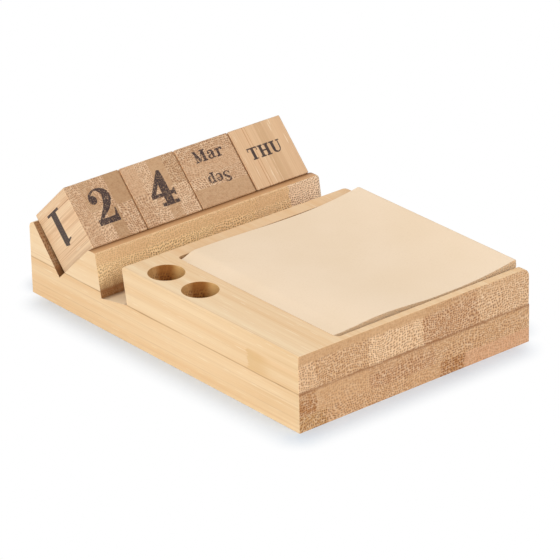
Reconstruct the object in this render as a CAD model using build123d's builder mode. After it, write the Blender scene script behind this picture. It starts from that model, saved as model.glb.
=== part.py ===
from build123d import *
import os
from math import cos, degrees, radians, sin, tan

# A free-standing desk calendar with a note tray, cut from a two-layer bamboo board.
#
# Frame: the origin is under the middle of the board, on the face that it stands on.
# +X runs to the right along the front, +Y to the back, +Z up. Lengths are in millimetres.
#
# Two bamboo boards are glued face to face. The lower one stays whole. The upper one is cut
# through by a V groove for the calendar blocks and by a leaning slot for a phone, which
# leaves three pieces on the lower board: the note tray, a middle rail and a back rail.

# ---------------------------------------------------------------- driving dimensions

# Boards
board_width = 120.0
lower_thickness = 16.5
upper_thickness = 16.0

# Eased and rounded edges of the boards
right_round = 3.5           # long top edge on the right
back_round = 2.9            # top edge at the back
slot_round = 1.0            # both lips of the phone slot
left_ease = 0.8             # long top edge on the left
front_ease = 0.4            # top edge at the front
lip_ease = 0.3              # front lip of the V groove

# Notes
note_size = 95.0
note_thickness = 0.12
note_curl_start = 57.0      # from the notes' left edge to where they begin to curl up
note_curl_radius = 208.0

# Recess for the notes, open at the right-hand side
front_wall = 3.6
back_wall = 8.0             # at the top
recess_depth = 10.0
recess_corner = 2.0
note_left_gap = 0.4         # from the left wall to the notes
note_end_gap = 1.85         # from the front wall and the back wall to the notes
note_stack_sunk = 0.45      # from the board's top to the flat part of the stack
note_clearance = 0.13       # between the stack and the top note

# Pen holes in the left wall
pen_hole_diameter = 15.2
pen_hole_depth = 25.0
pen_hole_outer_web = 2.6    # between the holes and the left side
pen_hole_inner_web = 4.7    # between the holes and the recess
pen_hole_spacing = 6.4      # between the two holes
pen_hole_from_recess_end = 1.0   # from the recess's back wall to the rear hole

# Slot for a phone. It leans back and its floor is square to its walls.
slot_width = 16.8           # square to its walls
slot_lean = 9.5             # degrees from upright
slot_cut_in_lower = 2.8     # how far its lowest line, at the middle rail, is cut into the lower board
middle_rail_top = 4.5       # flat top between the slot and the V groove

# V groove for the blocks. It is a little narrower than the blocks' square corner, so a block
# lies on the front flank and leans on the back lip, just clear of the bottom.
groove_cut_in_lower = 3.3
groove_front_slope = 43.0   # degrees from level
groove_back_slope = 49.6    # degrees from level
back_lip_land = 0.1         # flat top left between the V groove and the rounded back edge

# Calendar blocks
block_names = ["tens_block", "units_block", "month_block", "weekday_block"]
block_side = 27.9
block_gap = 0.75
block_first = 2.4           # from the left side to the first block
block_ease = 0.5

# ---------------------------------------------------------------- derived sizes

top = lower_thickness + upper_thickness

front_slope = radians(groove_front_slope)
back_slope = radians(groove_back_slope)
lean = radians(slot_lean)

pen_hole_radius = pen_hole_diameter / 2
left_wall = pen_hole_outer_web + pen_hole_diameter + pen_hole_inner_web
recess_length = note_size + 2 * note_end_gap
recess_floor = top - recess_depth
slot_bottom_height = lower_thickness - slot_cut_in_lower
groove_bottom_height = lower_thickness - groove_cut_in_lower
groove_depth = top - groove_bottom_height

# From the front to the back, along the top of the board
recess_back = front_wall + recess_length
tray_back = recess_back + back_wall
rail_front = tray_back + slot_width / cos(lean)
front_lip = rail_front + middle_rail_top
groove_bottom = front_lip + groove_depth / tan(front_slope)
back_lip = groove_bottom + groove_depth / tan(back_slope)
board_depth = back_lip + back_lip_land + back_round

left = -board_width / 2
front = -board_depth / 2
back = board_depth / 2
groove_y = front + groove_bottom
slot_tray_bottom_height = slot_bottom_height + slot_width * sin(lean)


def groove_front_at(height):
    return groove_y - (height - groove_bottom_height) / tan(front_slope)


def groove_back_at(height):
    return groove_y + (height - groove_bottom_height) / tan(back_slope)


def slot_rail_at(height):
    return front + rail_front - (top - height) * tan(lean)


def slot_tray_at(height):
    return front + tray_back - (top - height) * tan(lean)


pen_hole_x = left + pen_hole_outer_web + pen_hole_radius
pen_hole_rear_y = front + recess_back - pen_hole_from_recess_end - pen_hole_radius
pen_hole_front_y = pen_hole_rear_y - pen_hole_diameter - pen_hole_spacing
pen_hole_places = [(pen_hole_x, pen_hole_rear_y), (pen_hole_x, pen_hole_front_y)]
pen_hole_in_lower = pen_hole_depth - upper_thickness

# A block's lower front face lies on the groove's front flank. Its lower back face, square to
# that, meets the back lip while its bottom edge is still this far up the front flank.
seat_rise = groove_depth * sin(front_slope) - (back_lip - groove_bottom) * cos(front_slope)
seat_y = groove_y - seat_rise * cos(front_slope)
seat_height = groove_bottom_height + seat_rise * sin(front_slope)

note_left = left + left_wall + note_left_gap
note_centre_y = front + front_wall + recess_length / 2
note_top_of_stack = top - note_stack_sunk
note_underside = note_top_of_stack + note_clearance
note_curl_x = note_left + note_curl_start
note_curl_angle = (note_size - note_curl_start) / note_curl_radius
note_curl_centre = note_underside + note_curl_radius


def curl_end(radius):
    """The end of a curled sheet's face, at this distance from the centre of the curl."""
    return (
        note_curl_x + radius * sin(note_curl_angle),
        note_curl_centre - radius * cos(note_curl_angle),
    )


def export(piece, name):
    piece.part.label = name
    export_step(piece.part, f"parts/{name}.step")
    print(f"{name}: {piece.part.volume / 1000:.2f} cm3")


os.makedirs("parts", exist_ok=True)

# ---------------------------------------------------------------- lower board

# Its side view carries the bottom of the V groove and the slanting floor of the slot.
with BuildPart() as base_board:
    with BuildSketch(Plane.YZ) as base_side:
        with BuildLine():
            Polyline(
                (front, 0),
                (back, 0),
                (back, lower_thickness),
                (groove_back_at(lower_thickness), lower_thickness),
                (groove_y, groove_bottom_height),
                (groove_front_at(lower_thickness), lower_thickness),
                (slot_rail_at(lower_thickness), lower_thickness),
                (slot_rail_at(slot_bottom_height), slot_bottom_height),
                (slot_tray_at(slot_tray_bottom_height), slot_tray_bottom_height),
                (slot_tray_at(lower_thickness), lower_thickness),
                (front, lower_thickness),
                close=True,
            )
        make_face()
    extrude(amount=board_width / 2, both=True)
    with BuildSketch(Plane.XY.offset(lower_thickness)) as lower_holes:
        with Locations(*pen_hole_places):
            Circle(pen_hole_radius)
    extrude(amount=-pen_hole_in_lower, mode=Mode.SUBTRACT)

export(base_board, "base_board")

# ---------------------------------------------------------------- note tray

with BuildPart() as note_tray:
    with BuildSketch(Plane.YZ) as tray_side:
        with BuildLine():
            Polyline(
                (front, lower_thickness),
                (slot_tray_at(lower_thickness), lower_thickness),
                (slot_tray_at(top), top),
                (front, top),
                close=True,
            )
        make_face()
    extrude(amount=board_width / 2, both=True)

    top_edges = note_tray.edges().group_by(Axis.Z)[-1]
    slot_edge = top_edges.filter_by(Axis.X).sort_by(Axis.Y)[-1]
    fillet(slot_edge, radius=slot_round)
    top_edges = note_tray.edges().group_by(Axis.Z)[-1]
    fillet(top_edges.filter_by(Axis.Y).sort_by(Axis.X)[-1], radius=right_round)
    top_edges = note_tray.edges().group_by(Axis.Z)[-1]
    fillet(top_edges.filter_by(Axis.Y).sort_by(Axis.X)[0], radius=left_ease)
    top_edges = note_tray.edges().group_by(Axis.Z)[-1]
    fillet(top_edges.filter_by(Axis.X).sort_by(Axis.Y)[0], radius=front_ease)

    # The cutter runs on past the right-hand side, which leaves the recess open there.
    with BuildSketch(Plane.XY.offset(top)) as recess:
        with Locations((left + left_wall, front + front_wall)):
            RectangleRounded(board_width, recess_length, recess_corner, align=(Align.MIN, Align.MIN))
    extrude(amount=-recess_depth, mode=Mode.SUBTRACT)

    with BuildSketch(Plane.XY.offset(top)) as upper_holes:
        with Locations(*pen_hole_places):
            Circle(pen_hole_radius)
    extrude(amount=-upper_thickness, mode=Mode.SUBTRACT)

export(note_tray, "note_tray")

# ---------------------------------------------------------------- rails

with BuildPart() as middle_rail:
    with BuildSketch(Plane.YZ) as middle_side:
        with BuildLine():
            Polyline(
                (slot_rail_at(lower_thickness), lower_thickness),
                (groove_front_at(lower_thickness), lower_thickness),
                (groove_front_at(top), top),
                (slot_rail_at(top), top),
                close=True,
            )
        make_face()
    extrude(amount=board_width / 2, both=True)
    lips = middle_rail.edges().group_by(Axis.Z)[-1].filter_by(Axis.X).sort_by(Axis.Y)
    fillet(lips[0], radius=slot_round)
    lips = middle_rail.edges().group_by(Axis.Z)[-1].filter_by(Axis.X).sort_by(Axis.Y)
    fillet(lips[-1], radius=lip_ease)
    right_edge = middle_rail.edges().group_by(Axis.Z)[-1].filter_by(Axis.Y).sort_by(Axis.X)[-1]
    fillet(right_edge, radius=right_round)

export(middle_rail, "middle_rail")

with BuildPart() as back_rail:
    with BuildSketch(Plane.YZ) as back_side:
        with BuildLine():
            Polyline(
                (groove_back_at(lower_thickness), lower_thickness),
                (back, lower_thickness),
                (back, top),
                (groove_back_at(top), top),
                close=True,
            )
        make_face()
    extrude(amount=board_width / 2, both=True)
    back_edge = back_rail.edges().group_by(Axis.Z)[-1].filter_by(Axis.X).sort_by(Axis.Y)[-1]
    fillet(back_edge, radius=back_round)

export(back_rail, "back_rail")

# ---------------------------------------------------------------- calendar blocks

for place, block_name in enumerate(block_names):
    block_left = left + block_first + place * (block_side + block_gap)
    block_plane = Plane(
        origin=(block_left, seat_y, seat_height),
        x_dir=(0, sin(front_slope), cos(front_slope)),
        z_dir=(1, 0, 0),
    )
    with BuildPart() as block:
        with BuildSketch(block_plane) as block_end:
            Rectangle(block_side, block_side, align=(Align.MIN, Align.MIN))
        extrude(amount=block_side)
        fillet(block.edges(), radius=block_ease)
    export(block, block_name)

# ---------------------------------------------------------------- notes

# The stack lies flat on the left and curls up towards the open side.
with BuildPart() as note_stack:
    with BuildSketch(Plane.XZ.offset(-note_centre_y)) as stack_side:
        with BuildLine():
            stack_end = curl_end(note_curl_radius + note_clearance)
            curl = TangentArc((note_curl_x, note_top_of_stack), stack_end, tangent=(1, 0))
            Polyline(
                curl @ 1,
                (note_left + note_size, recess_floor),
                (note_left, recess_floor),
                (note_left, note_top_of_stack),
                curl @ 0,
            )
        make_face()
    extrude(amount=note_size / 2, both=True)

export(note_stack, "note_stack")

with BuildPart() as top_note:
    with BuildSketch(Plane.XZ.offset(-note_centre_y)) as note_side:
        with BuildLine():
            under = TangentArc(
                (note_curl_x, note_underside), curl_end(note_curl_radius), tangent=(1, 0)
            )
            over = TangentArc(
                (note_curl_x, note_underside + note_thickness),
                curl_end(note_curl_radius - note_thickness),
                tangent=(1, 0),
            )
            Line(under @ 1, over @ 1)
            Polyline(
                over @ 0,
                (note_left, note_underside + note_thickness),
                (note_left, note_underside),
                under @ 0,
            )
        make_face()
    extrude(amount=note_size / 2, both=True)

export(top_note, "top_note")

print(f"board {board_width:.2f} x {board_depth:.2f} x {top:.2f} mm")
print(f"pen holes at {pen_hole_places}")
print(f"slot walls at the top: {slot_tray_at(top):.2f} and {slot_rail_at(top):.2f}")
print(f"groove angle {180 - groove_front_slope - groove_back_slope:.1f} degrees")
print(f"block edge rests {seat_rise:.2f} mm up the front flank of the groove")
print(f"notes end {degrees(note_curl_angle):.1f} degrees up")
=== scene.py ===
# %% [markdown]
# # A bamboo desk calendar with a note tray
#
# The real piece is a two-layer bamboo board. It holds four calendar blocks in a V groove, has a
# slanting slot for a phone, two holes for pens and a recess full of kraft notes. The packed
# model already has every solid piece at its real size, so this lesson is about what a camera
# adds to it: light, wood, paper and print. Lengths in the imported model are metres, and the
# numbers below are millimetres wherever a wood worker would use them.

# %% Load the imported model
import math

import bmesh
import bpy
from mathutils import Matrix, Vector


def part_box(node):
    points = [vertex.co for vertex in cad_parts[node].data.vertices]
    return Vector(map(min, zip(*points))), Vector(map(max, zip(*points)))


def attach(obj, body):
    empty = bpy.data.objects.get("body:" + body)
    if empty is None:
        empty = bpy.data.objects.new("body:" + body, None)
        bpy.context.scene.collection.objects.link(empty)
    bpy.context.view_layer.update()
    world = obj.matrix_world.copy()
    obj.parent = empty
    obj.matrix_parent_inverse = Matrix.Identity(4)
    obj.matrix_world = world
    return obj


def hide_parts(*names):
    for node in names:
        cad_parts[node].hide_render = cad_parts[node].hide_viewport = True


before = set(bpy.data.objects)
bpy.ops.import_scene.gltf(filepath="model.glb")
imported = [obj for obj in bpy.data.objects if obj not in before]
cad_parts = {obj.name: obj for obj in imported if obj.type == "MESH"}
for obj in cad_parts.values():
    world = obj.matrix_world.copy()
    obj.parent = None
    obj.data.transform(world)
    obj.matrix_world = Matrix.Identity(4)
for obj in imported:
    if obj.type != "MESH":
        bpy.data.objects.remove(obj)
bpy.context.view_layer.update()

MM = 0.001
scene = bpy.context.scene


def added(name, data):
    """A new object in the scene, at the origin."""
    made = bpy.data.objects.new(name, data)
    scene.collection.objects.link(made)
    return made


# %% [markdown]
# ## Camera
#
# The photograph is a product shot taken with a long lens from the left, a little above. A long
# lens keeps parallel edges nearly parallel, so a short one at the same angle would look wrong
# at once. The camera could be aimed with a Track To constraint. Here its matrix is put together
# from three unit vectors, because the shot is also tilted by a bit more than a degree.

# %% Camera
AIM = Vector((0, -2.66, 17.18)) * MM
AZIMUTH, ELEVATION, TILT = (math.radians(v) for v in (-39.24, 25.05, -1.30))
DISTANCE = 1512.55 * MM
LENS, SENSOR = 239.9, 36  # mm

backward = Vector((
    math.sin(AZIMUTH) * math.cos(ELEVATION),
    -math.cos(AZIMUTH) * math.cos(ELEVATION),
    math.sin(ELEVATION),
))
level = Vector((math.cos(AZIMUTH), math.sin(AZIMUTH), 0))
upright = backward.cross(level)
rightward = level * math.cos(TILT) + upright * math.sin(TILT)
upward = upright * math.cos(TILT) - level * math.sin(TILT)

camera = added("camera", bpy.data.cameras.new("camera"))
camera.matrix_world = Matrix.Translation(AIM + backward * DISTANCE) @ Matrix(
    (rightward, upward, backward)
).transposed().to_4x4()
camera.data.lens, camera.data.sensor_width = LENS, SENSOR
camera.data.clip_start, camera.data.clip_end = 0.05, 20
scene.camera = camera
print("camera at", [round(v, 3) for v in camera.location], "m")

# %% [markdown]
# ## A short way to write node trees
#
# A material is a net of nodes, and a net that is built one link at a time is hard to read. The
# class below wraps one socket, so that an expression such as `1 - mask * 0.5` adds the Math
# nodes by itself. Its method `node` makes any other node. The same class serves for geometry
# nodes, because both kinds of tree share their Math nodes.

# %% The socket class
class Flow:
    """A socket of a node tree that can stand in an expression."""

    def __init__(self, tree, socket=None):
        self.tree, self.socket = tree, socket

    def node(self, kind, settings=None, values=None, out=0):
        """Adds a node. Its settings come first, then the values or links of its sockets."""
        made = self.tree.nodes.new(kind)
        for name, value in (settings or {}).items():
            if name == "stops":
                ramp = made.color_ramp
                while len(ramp.elements) < len(value):
                    ramp.elements.new(1)
                for element, (place, colour) in zip(ramp.elements, value):
                    element.position, element.color = place, colour
            elif name == "blend":
                made.color_ramp.interpolation = value
            else:
                setattr(made, name, value)
        for key, value in (values or {}).items():
            if isinstance(value, Flow):
                self.tree.links.new(value.socket, made.inputs[key])
            else:
                made.inputs[key].default_value = value
        return Flow(self.tree, made.outputs[out] if made.outputs else None)

    def other(self, output):
        """Another output of the node that this socket belongs to."""
        return Flow(self.tree, self.socket.node.outputs[output])

    def math(self, operation, *others):
        """A Math node that takes this socket first."""
        terms = dict(enumerate((self, *others)))
        return self.node("ShaderNodeMath", {"operation": operation}, terms)

    def vector(self, operation, *others, out=0):
        """The same for vectors."""
        terms = dict(enumerate((self, *others)))
        return self.node("ShaderNodeVectorMath", {"operation": operation}, terms, out)

    def __add__(self, other):
        return self.math("ADD", other)

    def __sub__(self, other):
        return self.math("SUBTRACT", other)

    def __rsub__(self, other):
        return self.node("ShaderNodeMath", {"operation": "SUBTRACT"}, {0: other, 1: self})

    def __mul__(self, other):
        return self.math("MULTIPLY", other)

    def __truediv__(self, other):
        return self.math("DIVIDE", other)

    def __abs__(self):
        return self.math("ABSOLUTE")

    __radd__, __rmul__ = __add__, __mul__

    def step(self, low, high):
        """0 below low, 1 above high and smooth between them."""
        ends = {"Value": self, "From Min": low, "From Max": high}
        return self.node("ShaderNodeMapRange", {"interpolation_type": "SMOOTHSTEP"}, ends)

    def past(self, edge, soft):
        """0 before an edge and 1 past it, blended over this length on either side."""
        return self.step(edge - soft, edge + soft)

    def mix(self, first, second, blend_type="MIX"):
        """Colours: first where this is 0, second where it is 1."""
        settings = {"data_type": "RGBA", "blend_type": blend_type}
        return self.node("ShaderNodeMix", settings, {0: self, 6: first, 7: second}, out=2)


def tone(code):
    """A colour as a painter reads it off a chart, such as E7BE92, as linear light."""
    parts = [int(code[i:i + 2], 16) / 255 for i in (0, 2, 4)]
    return *(v / 12.92 if v <= 0.04045 else ((v + 0.055) / 1.055) ** 2.4 for v in parts), 1.0


print("tone F1D0A4 is", [round(v, 3) for v in tone("F1D0A4")])

# %% [markdown]
# ## Floor, backdrop and light
#
# A product shot has a white sweep under the object and one very large, soft light on its left.
# The backdrop has to come out pure white without pouring more light on the wood, so the floor
# adds a little glow of its own that only the camera and reflections see. Where the object
# blocks the lamps, the floor keeps its soft shadow, which fades to white a little way out.

# %% Floor: helpers
WHITE = (1, 1, 1, 1)


def fresh_material(name):
    """A material with no nodes yet, and the flow that fills it."""
    material = bpy.data.materials.new(name)
    material.use_nodes = True
    material.node_tree.nodes.clear()
    return material, Flow(material.node_tree)


def seen_directly(flow):
    """1 for the camera's own rays and for those of reflections and glass."""
    direct = flow.node("ShaderNodeLightPath", out="Is Camera Ray")
    glossy, through = (direct.other(f"Is {kind} Ray") for kind in ("Glossy", "Transmission"))
    return direct.math("MAXIMUM", glossy).math("MAXIMUM", through)


def outside(here, left, right, front, back):
    """How far a place on the floor lies outside a rectangle, all in metres."""
    middle = ((left + right) / 2, (front + back) / 2, 0)
    half = ((right - left) / 2, (back - front) / 2, 1)
    away = here.vector("SUBTRACT", middle).vector("ABSOLUTE").vector("SUBTRACT", half)
    return away.vector("MAXIMUM", (0, 0, 0)).vector("LENGTH", out="Value")


# %% Floor
FLOOR_HALF = 6.0  # m from its middle to each side
FLOOR_DROP = 0.05 * MM  # below the board, so that the two faces don't fight
FLOOR_GLOW = 0.060
SHADOW_REACH = 0.016  # m out from the board, over which the floor fades to white
# Left, right, front and back of two rectangles in metres. Together they cover the board but for
# two of its corners, where the shadow fades sooner.
SHADOW_CORES = ((-0.060, 0.049, -0.086, 0.072), (-0.049, 0.060, -0.072, 0.086))

sweep, flow = fresh_material("white_sweep")
plain = flow.node("ShaderNodeBsdfDiffuse", values={"Color": tone("F0F3F8")})
cool = flow.node("ShaderNodeBsdfDiffuse", values={"Color": tone("DCE7F2")})
glow = flow.node("ShaderNodeEmission", values={"Color": WHITE, "Strength": FLOOR_GLOW})
white = flow.node("ShaderNodeEmission", values={"Color": WHITE, "Strength": 1.0})
lifted = flow.node("ShaderNodeAddShader", values={0: cool, 1: glow})
here = flow.node("ShaderNodeTexCoord", out="Object")
first, second = (outside(here, *sides) for sides in SHADOW_CORES)
fading = first.math("MINIMUM", second).step(0, SHADOW_REACH)
faded = flow.node("ShaderNodeMixShader", values={0: fading, 1: lifted, 2: white})
shown = flow.node("ShaderNodeMixShader", values={0: seen_directly(flow), 1: plain, 2: faded})
flow.node("ShaderNodeOutputMaterial", values={"Surface": shown})

corners = [(x * FLOOR_HALF, y * FLOOR_HALF, -FLOOR_DROP)
           for x, y in ((-1, -1), (1, -1), (1, 1), (-1, 1))]
floor_mesh = bpy.data.meshes.new("floor")
floor_mesh.from_pydata(corners, [], [(0, 1, 2, 3)])
floor_mesh.materials.append(sweep)
floor = added("floor", floor_mesh)
print("floor of", 2 * FLOOR_HALF, "m, with a shadow that fades over", SHADOW_REACH, "m")

# %% World
ROOM_LIGHT = 0.60

world = bpy.data.worlds.new("studio")
world.use_nodes = True
world.node_tree.nodes.clear()
flow = Flow(world.node_tree)
room = flow.node("ShaderNodeBackground", values={"Color": tone("F4F6FA"), "Strength": ROOM_LIGHT})
white = flow.node("ShaderNodeBackground", values={"Color": WHITE, "Strength": 1.0})
both = flow.node("ShaderNodeMixShader", values={0: seen_directly(flow), 1: room, 2: white})
flow.node("ShaderNodeOutputWorld", values={"Surface": both})
scene.world = world
scene.view_settings.view_transform = "Standard"
print("white world, room light", ROOM_LIGHT)

# %% Lamps
def softbox(name, place, size, watts, colour="FFFFFF"):
    """A square lamp at this place in metres, facing the object."""
    lamp = bpy.data.lights.new(name, "AREA")
    lamp.size, lamp.energy, lamp.color = size, watts, tone(colour)[:3]
    made = added(name, lamp)
    made.location = place
    made.rotation_mode = "QUATERNION"
    made.rotation_quaternion = (Vector(place) - AIM).to_track_quat("Z", "Y")
    print(name, "at", place, "with", watts, "W")


softbox("left", (-1.6, -0.5, 0.35), 1.0, 12.1, "FFF8EE")
softbox("front", (-0.2, -1.5, 1.05), 1.2, 13.7)
softbox("back_right", (1.0, 1.1, 1.5), 1.2, 6.5)

# %% [markdown]
# ## Bamboo
#
# Bamboo isn't wood with year rings. It is a pale ground tissue with dark bundles of fibre that
# all run the same way. Cut across, each bundle is a brown dot about half a millimetre wide, and
# the dots crowd together towards the outer skin of the stalk. Cut along, they are fine lines.
# Boards are glued up from split strips, so the tone jumps from one strip to the next.
#
# A picture of bamboo could be laid on each face, but its dots and lines would never meet at an
# edge. A solid pattern does: Voronoi cells stretched along the fibres give dots on a cut end
# and lines on a side, from the same numbers. The surface's own direction says which it is.

# %% Bamboo: small helpers
def axes(point):
    """The X, Y and Z parts of a vector."""
    x = point.node("ShaderNodeSeparateXYZ", values={0: point})
    return [x, x.other(1), x.other(2)]


def noise(point, stretch, detail=2.0, seed=0.0, out="Fac"):
    """Noise at so many features a millimetre along each axis."""
    stretched = point.vector("MULTIPLY", stretch)
    return point.node("ShaderNodeTexNoise", {"noise_dimensions": "4D"}, {
        "Vector": stretched, "W": seed, "Scale": 1.0, "Detail": detail}, out)


def random_of(number, seed):
    """A value from 0 to 1 that is always the same for the same number."""
    return number.node("ShaderNodeTexWhiteNoise", {"noise_dimensions": "1D"}, {"W": number + seed})


def fibre_space(flow, turn=0.0, corner=(0, 0, 0)):
    """Place in mm from a corner, and facing, turned about X so that the fibres run along Y."""
    given = flow.node("ShaderNodeTexCoord", out="Object")
    turned = {"Rotation": (math.radians(turn), 0, 0)}
    start = Matrix.Rotation(math.radians(turn), 3, "X") @ Vector(corner)
    place = flow.node("ShaderNodeMapping", {"vector_type": "POINT"}, {
        "Vector": given, "Scale": (1 / MM,) * 3, "Location": -start / MM, **turned})
    facing = flow.node("ShaderNodeMapping", {"vector_type": "NORMAL"}, {
        "Vector": given.other("Normal"), **turned})
    return place, facing


# %% Bamboo: a spot on it
class Spot:
    """A place on a piece of bamboo in mm, and the way in which its surface faces there."""

    def __init__(self, flow, seed, turn=0.0, corner=(0, 0, 0)):
        self.flow, self.seed = flow, seed
        self.place, facing = fibre_space(flow, turn, corner)
        self.x, self.y, self.z = axes(self.place)
        self.right, self.back, self.up = axes(facing)
        self.cut = abs(self.back).step(0.30, 0.72)  # 1 on a cut end, 0 along the fibres
        self.wobble = self.noise((0.5, 0.02, 0.5)) - 0.5

    def noise(self, stretch, detail=2.0, salt=0, out="Fac"):
        """Noise of the piece's own, another one for each salt."""
        return noise(self.place, stretch, detail, self.seed + salt, out)


# %% Bamboo: the pattern
BOARD_PITCH, RAIL_PITCH, BLOCK_PITCH = 1.08, 0.84, 0.92  # mm from one bundle to the next
SWAY = 12  # mm, by which the rows of bundles wander
SLANT, SCATTER = 0.10, 0.42
CORE, RIM = 0.14, 0.50  # a dot is dark up to here, and gone from here


def strips(place, span, table):
    """A row of glued strips along a span in mm, each (its start, tone, how clear its dots are)."""
    start, end = span
    stops = [((at - start) / (end - start), (*tone(code)[:3], clear)) for at, code, clear in table]
    share = (place - start) / (end - start)
    ramp = place.node("ShaderNodeValToRGB", {"blend": "CONSTANT", "stops": stops}, {0: share})
    return ramp, ramp.other("Alpha")


def bundles(at, pitch):
    """The dark fibre bundles, 0 to 1, and how dark each one is."""
    sway = at.noise((0.055, 0.004, 0.055), out="Color").vector("SUBTRACT", (0.5,) * 3)
    sway = sway.vector("MULTIPLY", (SWAY, 0, SWAY))
    x, _, z = axes(at.place.vector("ADD", sway))
    section = x.node("ShaderNodeCombineXYZ", values={0: (x + z * SLANT) / pitch, 1: z / pitch})
    cells = x.node("ShaderNodeTexVoronoi", {"feature": "F1", "voronoi_dimensions": "2D"}, {
        "Vector": section, "Scale": 1.0, "Randomness": SCATTER})
    return 1 - cells.step(CORE, RIM), axes(cells.other("Color"))[0]


print("bundles every", BOARD_PITCH, "mm on the boards and", BLOCK_PITCH, "mm on the blocks")

# %% [markdown]
# ### From pattern to finish
#
# The finish is put together in the order in which a cabinet maker would describe it: the strip's
# ground tone, its dots on a cut end, its lines along a side, the dark glue line, and last the
# sheen and the pits. The board, the blocks and even the printed figures share the colours and
# the sheen, because they are all the same wood.

# %% Bamboo: colours
DOT, GLINT = tone("743F12"), tone("FCE7C6")
BOARD_SIDES = [tone(code) for code in ("F4D7AC", "E9BF8A", "C6955F")]
RAIL_SIDES = [tone(code) for code in ("F9E0B9", "EDC795", "C6955F")]
BLOCK_SIDES = [tone(code) for code in ("FFE2B8", "F0C496", "9C5A26")]
DAY_SIDES = [tone(code) for code in ("ECCB9E", "DFB588", "A8734A")]
LAMELLA = 9.3  # mm, the width of a strip seen from its side


def bamboo_colours(at, ground, clear, sides, pitch, streaks):
    """Colour and dots. Sides hold a pale tone, a warm one and that of the lines."""
    pale, warm, line = sides
    dots, own = bundles(at, pitch)
    mottle = at.noise((0.9, 0.05, 0.9), 3, salt=3)
    dark = dots * clear * (0.68 + 0.32 * own)
    end = (mottle.step(0.62, 0.30) * clear * 0.36).mix(ground, GLINT)
    end = (mottle.step(0.48, 0.80) * 0.26).mix(end, DOT)
    end = (dark * 0.96).mix(end, DOT)

    fine = at.noise((2.6, 0.020, 2.6), 4, salt=5)
    broad = at.noise((0.22, 0.006, 0.22), salt=7)
    lines = at.noise((1.25, 0.0045, 1.25), 1, salt=9).step(0.60, 0.74)
    flecks = at.noise((1.5, 0.09, 1.5), 1, salt=11).step(0.64, 0.70)
    strip = random_of((at.x / LAMELLA).math("FLOOR"), at.seed)
    side = (broad.step(0.30, 0.72) * 0.6 + strip * 0.35).mix(pale, warm)
    side = (fine.step(0.35, 0.80) * 0.28 * streaks).mix(side, line)
    side = (lines * 0.42 * streaks).mix(side, line)
    side = (flecks * 0.45).mix(side, GLINT)
    return at.cut.mix(side, end), dots * at.cut


# %% Bamboo: sheen and pits
PIT = 0.08 * MM


def surface(flow, colour, roughness, height, strength, depth, gloss):
    """The way out of a tree, with a relief this strong and this deep."""
    relief = flow.node("ShaderNodeBump", values={
        "Strength": strength, "Distance": depth, "Height": height}, out="Normal")
    shader = flow.node("ShaderNodeBsdfPrincipled", values={
        "Base Color": colour, "Roughness": roughness, "Normal": relief,
        "Specular IOR Level": gloss})
    flow.node("ShaderNodeOutputMaterial", values={"Surface": shader})


def finish_wood(at, colour, dots):
    """Cut ends are a little duller, and their dots are pits."""
    height = 1 - dots * 0.8 - at.noise((3, 0.03, 3), salt=5) * 0.25
    surface(at.flow, colour, 0.50 + at.cut * 0.14, height, 0.35, PIT, 0.35)


def dress(node, material):
    """Gives a solid piece its finish."""
    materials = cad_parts[node].data.materials
    materials.clear()
    materials.append(material)


# %% [markdown]
# ### The boards
#
# Two glued boards make the stand, and the upper one is in three pieces. Each piece gets its own
# rows of strips and glue lines, and then painted shade in the slot, the groove, the nooks and the
# pen holes. Masks could be painted for them, but they lie at known heights and distances, so they
# are worked out from the place, and noise makes their edges uneven.

# %% Boards: tones and places
LOWER, UPPER = 16.5, 32.5  # tops of the two boards
BOARD_SPAN = (-60, 60)  # from the left side to the right
HOLES = ((-49.8, 7.722), (-49.8, -13.878))  # where the pen holes are drilled
HOLE_WALL = (7.62, 7.75)  # from just inside their radius to just outside
GROOVE_FRONT, GROOVE_BACK = 45.1, 83.0  # its lips, with painted shade on the groove between them
CREAM, HONEY, TAN, BROWN, UMBER = "E5BC8F", "DCB184", "CFA172", "C9996C", "B9834F"
BOARD_SKIN, RAIL_SKIN = "C89C6E", "D8AC7C"
# Painted shade: in the groove and along the blocks' edges, low in the slot, and in the nooks.
GAP_SHADE, SLOT_SHADE, SHADE = tone("6B4522"), tone("84541F"), tone("7A4A18")
GLUE, SEAM = tone("8E5E36"), tone("A8743F")
BOARD_STREAKS = 0.72


# %% Boards: strips and skin
def strip_rows(at, lean, rows):
    """Ground tone and clear dots from rows of strips, each (its lowest height, its strips)."""
    ground, clear = None, None
    for lowest, table in rows:
        row, sharp = strips(at.x + at.wobble * 1.4 + lean, BOARD_SPAN, table)
        if ground is None:
            ground, clear = row, sharp
        else:
            over = (at.z + at.wobble * 1.6).past(lowest, 0.3)
            ground, clear = over.mix(ground, row), clear + (sharp - clear) * over
    return ground, clear


def skin_side(at, lean, ground, clear, board_top, skin, skin_span):
    """The even, denser wood under the stalk's skin, at a board's top: (left, right, tone)."""
    left, right, skin_tone = skin
    dense = (at.z + at.wobble * 2.4 + lean * 0.25).step(board_top - 4.6, board_top - 2.8)
    dense = dense * (left + (right - left) * at.x.step(*skin_span))
    return dense.mix(ground, tone(skin_tone)), clear * (1 - dense * 0.85)
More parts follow.
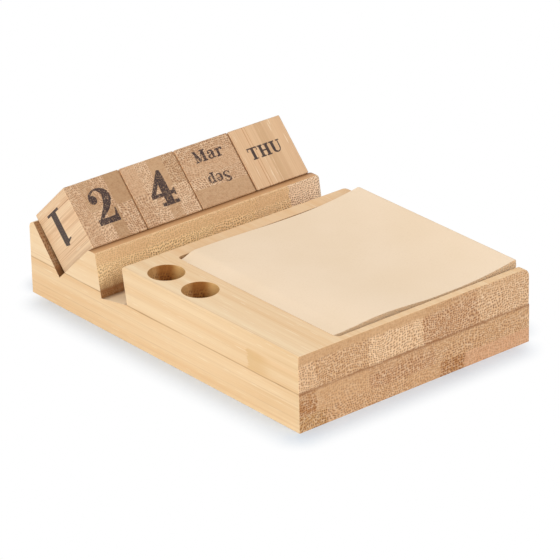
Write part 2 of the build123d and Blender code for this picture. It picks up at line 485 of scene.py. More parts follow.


# %% Boards: painted shade in slot, groove and pen holes, and glue lines
def slot_and_groove(at, colour, foot, nook):
    """Painted shade at the foot of the slot, in its nook and in the groove."""
    if foot:
        # Painted shade low on the cut ends in the slot.
        jagged = (at.noise((0.45, 0.05, 0.1), 3, salt=23) - 0.5) * 9
        low = (1 - (at.z + jagged).step(15, 24)) * at.y.step(20, 30) * (1 - at.y.step(46, 60))
        colour = (low * at.cut * foot).mix(colour, SLOT_SHADE)
    if nook:
        # Painted shade on upward faces in the nook.
        colour = (at.y.step(*nook) * at.up.step(0.2, 0.6) * 0.9).mix(colour, SHADE)
    # Painted shade on the groove, where the blocks stand.
    groove_shade = at.y.step(GROOVE_FRONT, GROOVE_FRONT + 0.4)
    groove_shade = groove_shade * (1 - at.y.step(GROOVE_BACK, GROOVE_BACK + 0.4))
    groove_shade = groove_shade * at.z.step(12, 13) * (1 - abs(at.right).step(0.3, 0.6))
    return (groove_shade * 0.62).mix(colour, GAP_SHADE)


def warmer_places(at, colour, warm_from, splice):
    """Warm wood right of a place, streaks near the front left, and the end of a strip there."""
    along = 1 - at.cut
    warmer = at.x.past(warm_from, 1) * along
    colour = (warmer * (0.10 + 0.20 * at.y.step(-76, -70))).mix(colour, tone("DCA266"))
    left = (1 - at.x.step(-58, -55)) * along
    streaks = at.noise((0.6, 0.010, 0.6), 3, salt=21).step(0.38, 0.62)
    streaks = streaks * (1 - at.y.step(-86, -10)) * left
    colour = (streaks * 0.32).mix(colour, tone("D9AE74"))
    if splice:
        front, back, low, high = splice
        ragged = (at.noise((0.1, 0.1, 0.75), 3, salt=19) - 0.5) * 9
        darker = at.y.step(front - 6, front + 4) * (1 - (at.y + ragged).past(back, 0.5))
        darker = darker * at.z.past(low, 0.3) * left
        darker = darker * (1 - (at.z + ragged * 0.2).step(high - 1, high + 0.5))
        colour = (darker * 0.62).mix(colour, tone("DDB47A"))
    return colour


def glue_and_seams(at, colour, seams):
    """The glue line on cut ends, and seams along the sides that open and close: (height, dark)."""
    glue = 1 - abs(at.z - LOWER + at.wobble * 0.8).step(0.1, 1.15)
    spread = at.noise((0.06, 0.01, 0), salt=13).step(0.35, 0.65)
    colour = (glue * at.cut * (0.38 + spread * 0.45)).mix(colour, GLUE)
    opened = at.noise((0, 0.035, 0), 3, salt=17).step(0.38, 0.62)
    for height, strength in ((LOWER, 0.85), *seams):
        seam = 1 - abs(at.z + at.wobble * 0.5 - height).step(0.05, 0.45)
        seam = seam * (0.3 + opened * 0.7) * strength
        colour = (seam * (1 - at.cut)).mix(colour, SEAM)
    return colour


def pen_holes(at, colour):
    """Painted shade on the walls of the holes, darker deep down and where they face the front left.
    """
    shaded = (0 - at.back).step(0.1, 0.7) * (1 - at.right.step(-0.35, 0.05))
    hole_shade = shaded.mix(tone("FFF6D8"), tone("C8A46A"))
    hole_shade = (1 - at.z.step(20, 27)).mix(hole_shade, tone("8A5C26"))
    for x, y in HOLES:
        from_axis = at.place.vector("SUBTRACT", (x, y, 0)).vector("MULTIPLY", (1, 1, 0))
        inside = 1 - from_axis.vector("LENGTH", out="Value").step(*HOLE_WALL)
        colour = inside.mix(colour, hole_shade, "MULTIPLY")
    return colour


# %% Boards: the finish
def board_finish(name, seed, rows, board_top, skin=(0.85, 0.85, BOARD_SKIN), skin_span=(0, 30),
                 sides=BOARD_SIDES, pitch=BOARD_PITCH, top=None, foot=0.0, nook=None, seams=(),
                 warm_from=60.0, splice=None):
    """All of the above, from the strips to the sheen."""
    material, flow = fresh_material(name)
    at = Spot(flow, seed)
    lean = (at.noise((0.07, 0.01, 0.12), salt=1) - 0.5) * 7
    ground, clear = strip_rows(at, lean, rows)
    ground, clear = skin_side(at, lean, ground, clear, board_top, skin, skin_span)
    colour, dots = bamboo_colours(at, ground, clear, sides, pitch, BOARD_STREAKS)
    # Upward faces take the top tone; on the lower board this paints its slot floor lighter, as
    # painted light.
    if top:
        colour = (at.up.step(0.80, 0.95) * 0.85).mix(colour, tone(top))
    colour = slot_and_groove(at, colour, foot, nook)
    colour = warmer_places(at, colour, warm_from, splice)
    colour = glue_and_seams(at, colour, seams)
    colour = pen_holes(at, colour)
    finish_wood(at, colour, dots)
    return material


# %% Boards: the four pieces
BOARD_WOOD = {
    "note_tray": dict(
        name="bamboo_upper_board", seed=11.0, board_top=UPPER, skin=(0.9, 0.35, BOARD_SKIN),
        seams=[(26.8, 0.12)], warm_from=-37.0, splice=(-65, -55, 16.9, 25.6),
        rows=[(0, [(-60, HONEY, 0.75), (-52, TAN, 0.80), (-25, CREAM, 0.80), (4, BROWN, 0.95),
                   (32, HONEY, 0.85)])]),
    "base_board": dict(
        # The lower board's top tone is painted light on its slot floor, and its foot and nook paint
        # shade in the slot.
        name="bamboo_lower_board", seed=23.0, board_top=LOWER, skin=(0.45, 0.25, BOARD_SKIN),
        seams=[(11.4, 0.15), (5.5, 0.2), (2.2, 0.1)], top="FFE8C4", foot=0.62, nook=(33.5, 38.8),
        rows=[(0, [(-60, "C4955F", 0.95), (-46, TAN, 0.75), (-4, TAN, 0.55), (12, UMBER, 1.0),
                   (25, "D3A177", 0.42)]),
              (6.5, [(-60, UMBER, 1.0), (-52, TAN, 0.5), (-24, BROWN, 0.9), (8, TAN, 0.8)])]),
    # The rail's foot paints shade low in the slot, and its nook paints shade on its top along the
    # groove's lip.
    "middle_rail": dict(
        name="bamboo_middle_rail", seed=17.0, board_top=UPPER - 1.5, skin=(0.6, 0.2, RAIL_SKIN),
        skin_span=(40, 42), sides=RAIL_SIDES, pitch=RAIL_PITCH, top="C48B52", foot=0.68,
        nook=(42.6, 46.0),
        rows=[(0, [(-60, "F3D19B", 0.68), (-34, "FCDCA4", 0.85), (0, "FAD69F", 0.80),
                   (24, "F6D29E", 0.75), (41.5, "FADBB8", 1.0)])]),
    "back_rail": dict(
        name="bamboo_back_rail", seed=19.0, board_top=UPPER, skin=(0.5, 0.8, BOARD_SKIN),
        sides=RAIL_SIDES,
        rows=[(0, [(-60, TAN, 0.9), (-34, HONEY, 0.8), (-6, BROWN, 0.9), (30, TAN, 0.8)])]),
}

for node, wood in BOARD_WOOD.items():
    dress(node, board_finish(**wood))
    print(node, "finished with", wood["name"])

# %% [markdown]
# ## Calendar blocks
#
# Each block is glued up from short strips. Three of them show cut ends on the face that carries
# the print, in staggered patches like brickwork, and the fourth shows long grain. The blocks lie
# on their edge in the groove, so a Mapping node turns the pattern by the slope of the groove.

# %% Blocks: where they are
GROOVE_SLOPE = 43.0  # degrees of the groove's front flank
SIDE = 27.9  # mm, of a block
BLOCKS = ("tens", "units", "month", "weekday")
ACROSS = Vector((1, 0, 0))
UP_SLOPE = Vector((0, math.sin(math.radians(GROOVE_SLOPE)), math.cos(math.radians(GROOVE_SLOPE))))
OUTWARD = ACROSS.cross(UP_SLOPE)  # out of the face that carries the print


def block_centre(body):
    low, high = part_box(f"{body}_block")
    return (low + high) / 2


def block_corner(body):
    """The left end of a block's lowest edge."""
    return block_centre(body) - (ACROSS + UP_SLOPE + OUTWARD) * SIDE / 2 * MM


for body in BLOCKS:
    print(body, "block stands on its edge at", [round(v / MM, 2) for v in block_corner(body)])

# %% Blocks: finish
INK = tone("2B1B1E")
ARRIS = (13.3, 13.9)  # mm from a block's middle, where painted shade darkens its left and right edges


def finish_block(body, upper, lower, seed, turn=GROOVE_SLOPE, along="x", sides=BLOCK_SIDES,
                 share=0.18, streaks=1.7, inked=False):
    """A block glued up from two rows of strips, and with inked, the print that sits on them."""
    material, flow = fresh_material(f"{'ink' if inked else 'bamboo'}_{body}_block")
    at = Spot(flow, seed, turn, block_corner(body))
    length, height = (at.x, at.z) if along == "x" else (at.z, at.x)
    (bottom, bottom_clear), (top, top_clear) = (
        strips(length + at.wobble * 0.5, (0, SIDE), table) for table in (lower, upper))
    over = (height + at.wobble * 0.5).past(SIDE / 2, 0.15)
    ground, clear = over.mix(bottom, top), bottom_clear + (top_clear - bottom_clear) * over
    *tints, line = sides
    tints = [flow.node("ShaderNodeMix", {"data_type": "RGBA"}, {0: share, 6: tint, 7: ground}, 2)
             for tint in tints]
    colour, dots = bamboo_colours(at, ground, clear, [*tints, line], BLOCK_PITCH, streaks)
    # Painted shade along the left and right edges, where one block meets the next.
    rim = abs(at.x - SIDE / 2).step(*ARRIS) * (1 - abs(at.right).step(0.2, 0.7))
    colour = (rim * 0.5).mix(colour, GAP_SHADE)
    if inked:
        worn = at.noise((2.1, 2.1, 2.1), 3).step(0.46, 0.76)
        colour = (0.97 - worn * (0.22 + at.cut * 0.50)).mix(colour, INK)
    finish_wood(at, colour, dots)
    return material


# %% Blocks: their strips
SAND, WHEAT, FAWN, DUSK = "D8B28C", "CCA47E", "C29B74", "B58E67"
UP_THE_FACE = GROOVE_SLOPE - 90  # lays the fibres along the printed face, not out of it
DAY_STRIPS = [(0, SAND, 0.7), (6.9, "A8683A", 0.7), (7.3, SAND, 0.7), (8.3, "B0743F", 0.7),
              (8.6, SAND, 0.7), (13.2, FAWN, 0.5), (17.5, WHEAT, 0.5), (20.3, SAND, 0.7)]
BLOCK_WOOD = {
    "tens": dict(seed=31.0, upper=[
        (0, WHEAT, 0.7), (6.3, FAWN, 0.5), (12.4, WHEAT, 0.8), (19.5, DUSK, 0.1)],
        lower=[(0, WHEAT, 0.6), (6.6, SAND, 0.8), (13.4, DUSK, 0.3), (19.3, WHEAT, 0.9)]),
    "units": dict(seed=37.0, upper=[
        (0, WHEAT, 0.3), (6.6, SAND, 0.8), (13.2, FAWN, 0.15), (20.5, FAWN, 0.8)],
        lower=[(0, WHEAT, 0.8), (7, SAND, 0.9), (13.3, FAWN, 0.4), (19, SAND, 0.8)]),
    "month": dict(seed=41.0, along="z", upper=[
        (0, FAWN, 0.15), (7.8, WHEAT, 0.7), (14, WHEAT, 0.4), (21.4, WHEAT, 0.9)],
        lower=[(0, FAWN, 0.2), (8.1, SAND, 0.9), (13.2, WHEAT, 0.5), (21, WHEAT, 0.9)]),
    "weekday": dict(turn=UP_THE_FACE, seed=43.0, sides=DAY_SIDES, share=0.6, streaks=0.9,
                    upper=DAY_STRIPS, lower=DAY_STRIPS),
}

ink = {}
for body, wood in BLOCK_WOOD.items():
    dress(f"{body}_block", finish_block(body, **wood))
    ink[body] = finish_block(body, **wood, inked=True)
    print(body, "block finished")

# %% [markdown]
# ## Notes
#
# The recess holds a pile of kraft notes. They lie flat on the left and curl up on the right,
# where the tray is open, and the upper ones also rise in a low ridge. A single solid with lines
# drawn on its edge would give neither the fanned sheets nor the thin shadow between them, and
# modelling sixty sheets by hand would be a waste. Geometry Nodes make one sheet, repeat it and
# bend each copy by how high it lies. The loose note on top is the same tree, asked for one
# sheet with more faces.

# %% Notes: measures
NOTE, SHEET = 95.0, 0.12  # side and thickness
RIDGE_AT, RIDGE_SKEW = 19, 0.12  # where the ridge crosses a sheet, and how far askew
LEFT_EDGE = 12  # how far in from the left edge the lift there reaches
CORNER = 6.5  # how far from the back left corner its droop reaches
SHEET_INPUTS = {
    "Sheets": 60, "Sheet Size": NOTE, "Thickness": SHEET, "Lowest": 0.0, "Highest": 9.4,
    "Full Height": 9.5, "Curl Start": 62.0, "Curl Radius": 195.0, "Ridge": 1.2,
    "Ridge Rise": 28.0, "Ridge Fall": 38.0, "Back Lift": 0.9, "Left Lift": 0.36,
    "Corner Droop": 0.8, "Looseness": 0.10, "Cuts Across": 40, "Cuts Along": 5, "Seed": 5,
    "Paper": "Material"}


# %% Notes: a tree with named inputs
def fresh_tree(name, inputs):
    """A geometry tree, its flow and its inputs, each from a usual number or a kind of socket."""
    tree = bpy.data.node_groups.new(name, "GeometryNodeTree")
    tree.interface.new_socket("Geometry", in_out="OUTPUT", socket_type="NodeSocketGeometry")
    for label, value in inputs.items():
        kind = value if isinstance(value, str) else type(value).__name__.title()
        socket = tree.interface.new_socket(label, in_out="INPUT", socket_type=f"NodeSocket{kind}")
        if kind != value:
            socket.default_value = value
    given = tree.nodes.new("NodeGroupInput")
    return tree, Flow(tree), {label: Flow(tree, given.outputs[label]) for label in inputs}


def numbered(flow, count):
    """Points at the origin, and the number of each."""
    stack = flow.node("GeometryNodeMeshLine", {"mode": "OFFSET"}, {
        "Count": count, "Offset": (0, 0, 0)})
    counted = flow.tree.nodes.new("GeometryNodeCaptureAttribute")
    counted.capture_items.new("FLOAT", "Number")
    flow.tree.links.new(stack.socket, counted.inputs["Geometry"])
    flow.tree.links.new(flow.node("GeometryNodeInputIndex").socket, counted.inputs["Number"])
    return Flow(flow.tree, counted.outputs["Geometry"]), Flow(flow.tree, counted.outputs["Number"])


# %% Notes: how a sheet lies
def lie_of_sheet(size, number, across, y, z):
    """How far each place of a sheet comes to lie from the left edge, and at what height."""
    note = size["Sheet Size"]
    share = number / (size["Sheets"] - 1).math("MAXIMUM", 1)
    level = size["Lowest"] + (size["Highest"] - size["Lowest"]) * share
    bend = level / size["Full Height"]
    angle = (across - size["Curl Start"]).math("MAXIMUM", 0) / size["Curl Radius"]
    rise = size["Curl Radius"] * (1 - angle.math("COSINE"))
    pull = size["Curl Radius"] * (angle - angle.math("SINE"))
    crest = RIDGE_AT - y * RIDGE_SKEW
    ridge = across.step(crest - size["Ridge Rise"], crest) * size["Ridge"]
    ridge = ridge * (1 - across.step(crest, crest + size["Ridge Fall"] + y * 0.15))
    from_corner = across * across + (note / 2 - y) * (note / 2 - y)
    droop = (1 - from_corner.math("SQRT").step(0, CORNER)) * size["Corner Droop"]
    wave = (ridge * (1 - y / note * 0.4) + size["Back Lift"] * (0.5 + y / note)) * across.step(0, 9)
    wave = wave + size["Left Lift"] * (1 - across.step(0, LEFT_EDGE)) - droop
    height = level + z + size["Thickness"] / 2 + rise * bend + wave * bend * bend * bend
    return across - pull * bend, height


def curled_sheets():
    """Sheets that lie flat on the left and curl up on the right, all lengths in mm."""
    tree, flow, size = fresh_tree("curled_sheets", SHEET_INPUTS)
    note = size["Sheet Size"]
    sheet = flow.node("GeometryNodeMeshCube", values={
        "Size": flow.node("ShaderNodeCombineXYZ", values={0: note, 1: note, 2: size["Thickness"]}),
        "Vertices X": size["Cuts Across"], "Vertices Y": size["Cuts Along"], "Vertices Z": 2})
    points, number = numbered(flow, size["Sheets"])
    copies = flow.node("GeometryNodeInstanceOnPoints", values={"Points": points, "Instance": sheet})
    real = flow.node("GeometryNodeRealizeInstances", values={0: copies})

    def loose(salt):
        """A small shift that is the same for a whole sheet."""
        shift = flow.node("FunctionNodeRandomValue", {"data_type": "FLOAT"}, {
            "Min": -1.0, "Max": 1.0, "ID": number, "Seed": size["Seed"] + salt}, out="Value")
        return shift * size["Looseness"]

    x, y, z = axes(flow.node("GeometryNodeInputPosition"))
    pulled, height = lie_of_sheet(size, number, x + note / 2, y, z)
    moved = flow.node("ShaderNodeCombineXYZ", values={
        0: pulled + loose(3), 1: y + loose(7), 2: height})
    placed = flow.node("GeometryNodeSetPosition", values={"Geometry": real, "Position": moved})
    flat = flow.node("GeometryNodeSetShadeSmooth", values={
        "Geometry": placed, "Shade Smooth": False})
    papered = flow.node("GeometryNodeSetMaterial", values={
        "Geometry": flat, "Material": size["Paper"]})
    flow.node("NodeGroupOutput", values={0: papered})
    return tree


sheets_tree = curled_sheets()
print("sheets tree has", len(sheets_tree.nodes), "nodes")

# %% Notes: from tree to mesh
def grown(name, tree, values, start=None, shift=(0, 0, 0)):
    """Runs a tree on a start mesh in mm and keeps the result as a plain mesh in metres."""
    seedling = added(f"{name}_seed", start or bpy.data.meshes.new(f"{name}_seed"))
    modifier = seedling.modifiers.new("grow", "NODES")
    modifier.node_group = tree
    for socket in tree.interface.items_tree:
        if socket.name in values:
            modifier[socket.identifier] = values[socket.name]
    evaluated = seedling.evaluated_get(bpy.context.evaluated_depsgraph_get())
    mesh = bpy.data.meshes.new_from_object(evaluated)
    mesh.name = name
    mesh.transform(Matrix.Translation(shift) @ Matrix.Scale(MM, 4))
    piece = added(name, mesh)
    bpy.data.objects.remove(seedling)
    print(name, "has", len(mesh.polygons), "faces")
    return piece


# %% Notes: paper
FIBRE = 0.03 * MM


def kraft(name, edge):
    """Pale kraft paper, and how much darker a cut edge looks than the face."""
    material, flow = fresh_material(name)
    place, facing = fibre_space(flow)
    pulp = noise(place, (1.6, 1.6, 1.6), 4, seed=2.0)
    cloud = noise(place, (0.03, 0.03, 0.03), seed=4.0)
    side = 1 - abs(axes(facing)[2]).step(0.4, 0.8)
    colour = cloud.step(0.3, 0.7).mix(tone("F7DFC1"), tone("F4DBBB"))
    colour = (pulp.step(0.45, 0.8) * 0.16).mix(colour, tone("D9B78C"))
    colour = (side * edge).mix(colour, tone("C7A272"))
    surface(flow, colour, 0.86 - pulp * 0.1, pulp, 0.25, FIBRE, 0.2)
    return material


# %% Notes: the pile and the loose sheet
RECESS_FLOOR, PILE_TOP = 22.5, 32.05
PILE_HEIGHT = PILE_TOP - RECESS_FLOOR
LOOSE_LEVEL = 9.68  # mm above the recess's floor
LOOSE_SHIFT = 0.8 * MM  # to the left of where the solid lies

low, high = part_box("note_stack")
pile = grown("note_pile", sheets_tree, {
    "Sheets": 64, "Lowest": 0.0, "Highest": PILE_HEIGHT - SHEET, "Full Height": PILE_HEIGHT,
    "Paper": kraft("kraft_note", 0.75),
}, shift=Vector((low.x, (low.y + high.y) / 2, low.z)))
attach(pile, "notes")
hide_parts("note_stack")

bottom = low.z
low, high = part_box("top_note")
note = grown("loose_note", sheets_tree, {
    "Sheets": 1, "Lowest": LOOSE_LEVEL, "Highest": LOOSE_LEVEL, "Full Height": LOOSE_LEVEL,
    "Looseness": 0.0, "Cuts Across": 140, "Cuts Along": 60, "Paper": kraft("kraft_top_note", 0.15),
}, shift=Vector((low.x - LOOSE_SHIFT, (low.y + high.y) / 2, bottom)))
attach(note, "loose_note")
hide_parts("top_note")

# %% [markdown]
# ## Print
#
# The blocks are printed in a heavy slab-serif style: figures on the first two, short month names
# on the third and short day names on the fourth. Blender's own font has no serifs, so the
# letters are drawn here as a sign painter would draw them, from strokes that swell and thin.
# Each stroke is a closed strip. Strokes cross inside a letter, so a Mesh Boolean in a small
# geometry tree welds them into one clean skin. The print stands a hair's breadth proud of the
# wood, and its lower side is sunk in it.

# %% Print: strokes
THICK, SLAB = 0.265, 0.105  # shares of a letter's height
OVERHANG = 0.11  # how far a slab stands out on each side of its upright
TUCK = 0.013  # how far an upright stops short of the outside of its slabs
SMOOTH = 6  # cuts from one point of a stroke to the next


def stroke(points):
    """A stroke through (x, y, width) points, as its left and right side."""
    course = points
    if len(points) > 2:
        ends = [points[0], *points, points[-1]]
        course = []
        for a, b, c, d in zip(ends, ends[1:], ends[2:], ends[3:]):
            for n in range(SMOOTH):
                t = n / SMOOTH
                course.append([0.5 * (2 * q + (r - p) * t + (2 * p - 5 * q + 4 * r - v) * t * t
                                      + (3 * q - p - 3 * r + v) * t ** 3)
                               for p, q, r, v in zip(a, b, c, d)])
        course.append(points[-1])
    sides = []
    for n, (x, y, width) in enumerate(course):
        before, after = course[max(n - 1, 0)], course[min(n + 1, len(course) - 1)]
        along = Vector((after[0] - before[0], after[1] - before[1])).normalized()
        out = Vector((-along.y, along.x)) * width / 2
        sides.append((Vector((x, y)) + out, Vector((x, y)) - out))
    return [sides]


def brush(text):
    """A stroke through points written as "x y width, x y width" in hundredths."""
    return stroke([[float(v) / 100 for v in point.split()] for point in text.split(",")])


def line(x0, y0, x1, y1, width=SLAB):
    return stroke([(x0, y0, width), (x1, y1, width)])


def stem(x, low=0.0, high=1.0, width=THICK, feet="both"):
    """An upright with slabs at its ends."""
    parts = line(x, low + TUCK, x, high - TUCK, width)
    reach = width / 2 + OVERHANG
    if feet in ("both", "low"):
        parts += line(x - reach, low + SLAB / 2, x + reach, low + SLAB / 2)
    if feet in ("both", "high"):
        parts += line(x - reach, high - SLAB / 2, x + reach, high - SLAB / 2)
    return parts


def ball(x, y, radius):
    """The round end of a stroke."""
    turns = [math.radians(15 + 15 * n) for n in range(11)]
    return [[(Vector((x + radius * math.cos(a), y + radius * math.sin(a))),
              Vector((x + radius * math.cos(a), y - radius * math.sin(a)))) for a in turns]]


def mirrored(middle, parts):
    """Strokes and their mirror image about an upright line."""
    return parts + [[(Vector((2 * middle - b.x, b.y)), Vector((2 * middle - a.x, a.y)))
                     for a, b in sides] for sides in parts]


# %% Print: figures and letters
BOWL = brush("22 60 7, 40 70 9, 62 58 19, 67 36 23, 62 14 19, 40 2 9, 22 10 7")
EARS = line(0, .655, .36, .655) + line(.48, .655, .8, .655)
GLYPHS = {  # each with its width
    "0": (0.68, mirrored(0.34, brush("34 97 5, 13 80 18, 11 50 22, 13 20 18, 34 3 5"))),
    "1": (0.62, line(.31, 0, .31, .9, .26) + line(0, .035, .62, .035, .07)
          + line(.31, .86, .34, .98, .2) + brush("4 86 4, 20 89 7, 36 93 12")),
    "2": (0.68, ball(.15, .72, .125)
          + brush("5 72 5, 11 87 7, 32 97.5 5.5, 53 86 19, 56 68 25, 44 46 19, 24 26 11, 4 6 6")
          + line(.02, .085, .67, .085, .17) + brush("60 10 14, 63.5 22 8, 66 37 3")),
    "3": (0.66, ball(.15, .77, .11) + ball(.14, .22, .12)
          + brush("6 76 5, 13 90 7, 32 97 6, 52 86 18, 54 72 22, 44 58 12, 26 53 6")
          + brush("26 53 6, 50 47 15, 59 29 24, 52 11 17, 32 3 6, 11 9 7, 4 22 5")),
    "4": (0.76, brush("47.8 1 25.2, 47.8 55 25, 50 80 20, 54 99 8") + line(.53, .95, .06, .34, .12)
          + line(0, .32, .74, .32, .10) + brush("74 22 3, 72 32 9, 75 42 3")
          + line(.22, .05, .76, .05, .10)),
    "5": (0.66, ball(.14, .22, .12) + line(.11, .92, .58, .92, .15) + line(.13, .96, .11, .5, .06)
          + brush("10 50 6, 30 61 7, 50 52 18, 58 32 24, 51 12 17, 32 3 6, 11 9 7, 4 22 5")),
    "6": (0.68, ball(.53, .8, .1)
          + brush("60 82 5, 50 95 6, 32 96 7, 16 77 19, 12 46 23, 16 17 18, 34 3 5")
          + brush("16 42 5, 34 57 6, 50 49 17, 56 30 22, 51 12 17, 34 3 5")),
    "7": (0.66, line(.06, .91, .64, .91, .16) + line(.05, .68, .05, .99, .05)
          + brush("60 86 7, 40 52 14, 31 22 24, 31 2 26")),
    "8": (0.68, mirrored(0.34, brush("34 97 5, 17 88 15, 15 73 18, 20 58 12, 34 52 7")
          + brush("34 52 7, 16 42 15, 11 27 20, 17 10 15, 34 3 5"))),
    "A": (1.08, line(.16, .05, .52, .99, .08) + line(.5, .99, .86, .05, .24)
          + line(.26, .34, .74, .34, .08) + line(0, .045, .34, .045) + line(.64, .045, 1.08, .045)),
    "D": (0.94, stem(.25)
          + brush("25 95.5 9, 52 94 11, 76 74 21, 81 50 25, 76 26 21, 52 6 11, 25 4.5 9")),
    "E": (0.90, stem(.25) + line(.25, .955, .84, .955) + line(.25, .045, .88, .045)
          + line(.25, .5, .64, .5) + line(.81, .7, .81, 1, .07) + line(.85, 0, .85, .3, .07)
          + line(.62, .38, .62, .62, .07)),
    "F": (0.86, stem(.25) + line(.25, .955, .84, .955) + line(.25, .5, .64, .5)
          + line(.81, .7, .81, 1, .07) + line(.62, .38, .62, .62, .07)),
    "H": (1.08, stem(.25) + stem(.83) + line(.25, .5, .83, .5)),
    "I": (0.50, stem(.25)),
    "J": (0.72, stem(.46, .3, 1, feet="high") + ball(.13, .2, .1)
          + brush("46 34 24, 43 12 17, 26 3 9, 6 17 6")),
    "M": (1.24, stem(.21, width=.09) + stem(.99) + line(.2, .97, .56, .06, .24)
          + line(.56, .06, .94, .97, .08)),
    "N": (1.08, stem(.21, width=.09) + stem(.89, width=.09) + line(.2, .97, .86, .05, .24)),
    "O": (0.94, mirrored(0.47, brush("47 97 7, 20 85 19, 13 50 25, 20 15 19, 47 3 7"))),
    "R": (1.06, stem(.25)
          + brush("25 95.5 9, 52 95 10, 73 87 15, 79 73 19, 73 59 15, 52 51 8, 25 50 8")
          + brush("50 50 9, 69 36 21, 75 13 22, 89 5 10, 102 13 5")),
    "S": (0.80, brush("68 80 6, 56 93 8, 38 96 9, 19 87 17, 18 70 20, 34 57 24, 52 45 24, "
          "66 31 20, 62 14 16, 44 4.5 9, 26 6 8, 12 22 6") + line(.7, .69, .7, .98, .06)
          + line(.1, .02, .1, .33, .06)),
    "T": (0.92, stem(.46, feet="low") + line(0, .955, .92, .955) + line(.035, .7, .035, .98, .07)
          + line(.885, .7, .885, .98, .07)),
    "U": (1.02, stem(.25, .32, 1, feet="high") + stem(.83, .32, 1, .09, "high")
          + brush("25 36 24, 29 16 20, 52 5 10, 74 14 8, 83 36 9")),
    "W": (1.34, line(.2, .97, .46, .03, .24) + line(.46, .03, .68, .8, .08)
          + line(.62, .97, .88, .03, .24) + line(.88, .03, 1.18, .97, .08) + line(0, .955, .4, .955)
          + line(.46, .955, .82, .955) + line(1.0, .955, 1.34, .955)),
    "a": (0.80, ball(.17, .54, .09)
          + brush("10 55 5, 20 68 7, 38 71 9, 53 62 19, 56 45 22, 56 20 22, 63 6 12, 78 9 5")
          + brush("56 43 7, 34 38 9, 15 28 17, 14 15 19, 27 4 10, 44 8 8, 56 20 8")),
    "b": (0.80, stem(.2, 0, 1, .22, "high") + BOWL),
    "c": (0.72, ball(.56, .55, .09)
          + brush("63 56 5, 52 68 7, 36 71 9, 17 57 19, 13 36 23, 18 15 19, 38 3 10, 56 8 7, "
          "68 20 5")),
    "e": (0.74, brush("60 41 20, 57 59 16, 40 71 9, 19 58 19, 13 36 23, 20 13 19, 40 3 10, "
          "58 9 7, 70 22 5") + line(.14, .4, .69, .4, .07)),
    "g": (0.80, brush("58 60 7, 40 70 9, 19 58 19, 14 38 23, 19 18 19, 40 6 9, 58 16 7")
          + ball(.17, -.13, .09) + brush("63 71 20, 63 10 22, 56 -15 15, 36 -24 9, 10 -14 6")),
    "l": (0.42, stem(.21, 0, 1, .22)),
    "n": (0.88, stem(.21, 0, .7, .22) + line(.5, .045, .88, .045)
          + brush("30 55 6, 45 69 9, 63 62 19, 67 45 22, 67 3 22")),
    "o": (0.78, mirrored(0.39, brush("39 71 8, 18 59 18, 13 36 23, 18 13 18, 39 2 8"))),
    "p": (0.80, stem(.2, -.28, .7, .22) + BOWL),
    "r": (0.70, stem(.21, 0, .7, .22) + ball(.58, .6, .1) + brush("28 50 7, 40 65 9, 58 69 7")),
    "t": (0.60, line(.04, .68, .56, .68, .08)
          + brush("30 92 8, 28 62 20, 28 22 21, 36 5 13, 58 12 5")),
    "u": (0.90, stem(.21, .24, .7, .22, "high") + stem(.67, 0, .7, .22)
          + brush("21 26 22, 28 7 15, 44 3 8, 66 16 6")),
    "v": (0.80, line(.19, .66, .41, .03, .22) + line(.41, .03, .63, .66, .08) + EARS),
    "y": (0.80, line(.19, .66, .41, .03, .22) + EARS + brush("63 66 8, 42 5 9, 32 -16 9, 16 -22 7")
          + ball(.16, -.14, .08)),
}
print(len(GLYPHS), "figures and letters drawn")

# %% Print: welding
def welded():
    """A tree that welds crossing strokes into one closed skin."""
    tree, flow, given = fresh_tree("welded_strokes", {"Geometry": "Geometry", "Ink": "Material"})
    union = flow.node("GeometryNodeMeshBoolean", {"operation": "UNION", "solver": "EXACT"}, {
        "Mesh 2": given["Geometry"], "Self Intersection": True}, out="Mesh")
    real = flow.node("GeometryNodeRealizeInstances", values={0: union})
    inked = flow.node("GeometryNodeSetMaterial", values={
        "Geometry": real, "Material": given["Ink"]})
    flow.node("NodeGroupOutput", values={0: inked})
    return tree


weld_tree = welded()
print("weld tree has", len(weld_tree.nodes), "nodes")

# %% Print: laying it on
PROUD, SUNK = 0.03, 0.12  # mm above and below the wood
LETTER_GAP = 0.07  # share of a letter's height


def strokes_to_mesh(mesh, strokes, place):
    """Adds each stroke as a closed strip. Place takes (x, y, height) to mm in the block's frame."""
    for sides in strokes:
        rings = []
        for left, right in sides:
            rings.append([mesh.verts.new(place(*corner)) for corner in (
                (left.x, left.y, PROUD), (right.x, right.y, PROUD),
                (right.x, right.y, -SUNK), (left.x, left.y, -SUNK))])
        mesh.faces.new(rings[0])
        mesh.faces.new(reversed(rings[-1]))
        for ring, following in zip(rings, rings[1:]):
            for n in range(4):
                m = (n + 1) % 4
                mesh.faces.new((ring[m], ring[n], following[n], following[m]))


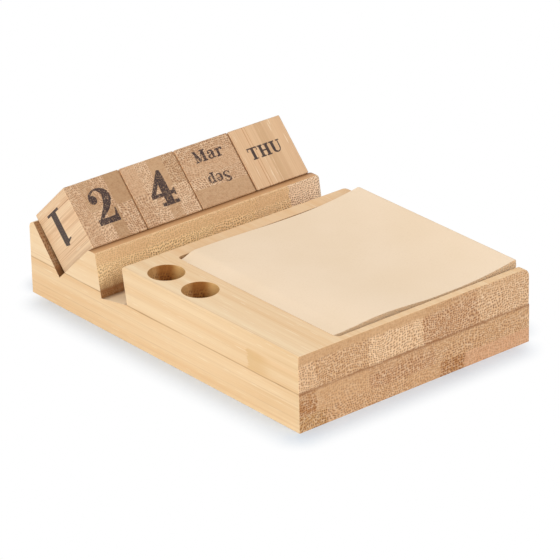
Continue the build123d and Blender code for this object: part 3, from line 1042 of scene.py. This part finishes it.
def set_text(text, height):
    """The strokes of a word in mm, about its own middle."""
    width = sum(GLYPHS[letter][0] for letter in text) + LETTER_GAP * (len(text) - 1)
    start, strokes = -width / 2, []
    for letter in text:
        for sides in GLYPHS[letter][1]:
            strokes.append([tuple((point + Vector((start, -0.5))) * height for point in pair)
                            for pair in sides])
        start += GLYPHS[letter][0] + LETTER_GAP
    return strokes


def print_block(body, faces):
    """Prints on a block: faces as ((rightward, upward), [(text, height, right, up, turned)])."""
    mesh = bmesh.new()
    centre = block_centre(body) / MM
    for (rightward, upward), words in faces:
        outward = rightward.cross(upward)
        for text, height, right, up, turned in words:
            turn = -1 if turned else 1

            def place(x, y, rise):
                return (centre + rightward * (right + turn * x) + upward * (up + turn * y)
                        + outward * (SIDE / 2 + rise))

            strokes_to_mesh(mesh, set_text(text, height), place)
    bmesh.ops.recalc_face_normals(mesh, faces=mesh.faces)
    strokes = bpy.data.meshes.new(f"{body}_strokes")
    mesh.to_mesh(strokes)
    mesh.free()
    piece = grown(f"{body}_print", weld_tree, {"Ink": ink[body]}, strokes)
    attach(piece, body)


# %% Print: what each face says
FIGURE, DAY, MONTH, SECOND_MONTH = 15.9, 5.5, 5.3, 5.3 * 0.88  # heights in mm
FACES = {  # the ways to the right and up on each
    "front": (ACROSS, UP_SLOPE), "left end": (-OUTWARD, -UP_SLOPE), "top": (-ACROSS, OUTWARD),
    "foot": (ACROSS, OUTWARD), "back": (ACROSS, -UP_SLOPE), "right end": (UP_SLOPE, OUTWARD)}


def figure(text, right=0.0, up=0.0):
    return [(text, FIGURE, right, up, False)]


def month_pair(upper, lower):
    return [(upper, MONTH, 0.5, 7.9, False), (lower, SECOND_MONTH, 0.4, -3.8, True)]


def day(text, right=0.0, up=1.5):
    return [(text, DAY, right, up, False)]


PRINTS = {  # in the order of the faces
    "tens": [figure("2", -0.8, 1.4), figure("1", 1.4, -1.9), *map(figure, "8076")],
    "units": [figure("4", 0.0, 0.4), *map(figure, "35012")],
    "month": [month_pair(*pair.split()) for pair in (
        "Mar Sep", "Feb Aug", "Jan Jul", "Apr Oct", "May Nov", "Jun Dec")],
    "weekday": [day("THU", -1.0), *map(day, ("TUE", "MON", "WED", "FRI")),
                day("SAT", 0, 6) + [("SUN", DAY, 0, -6, True)]],
}
for body, words in PRINTS.items():
    print_block(body, zip(FACES.values(), words))
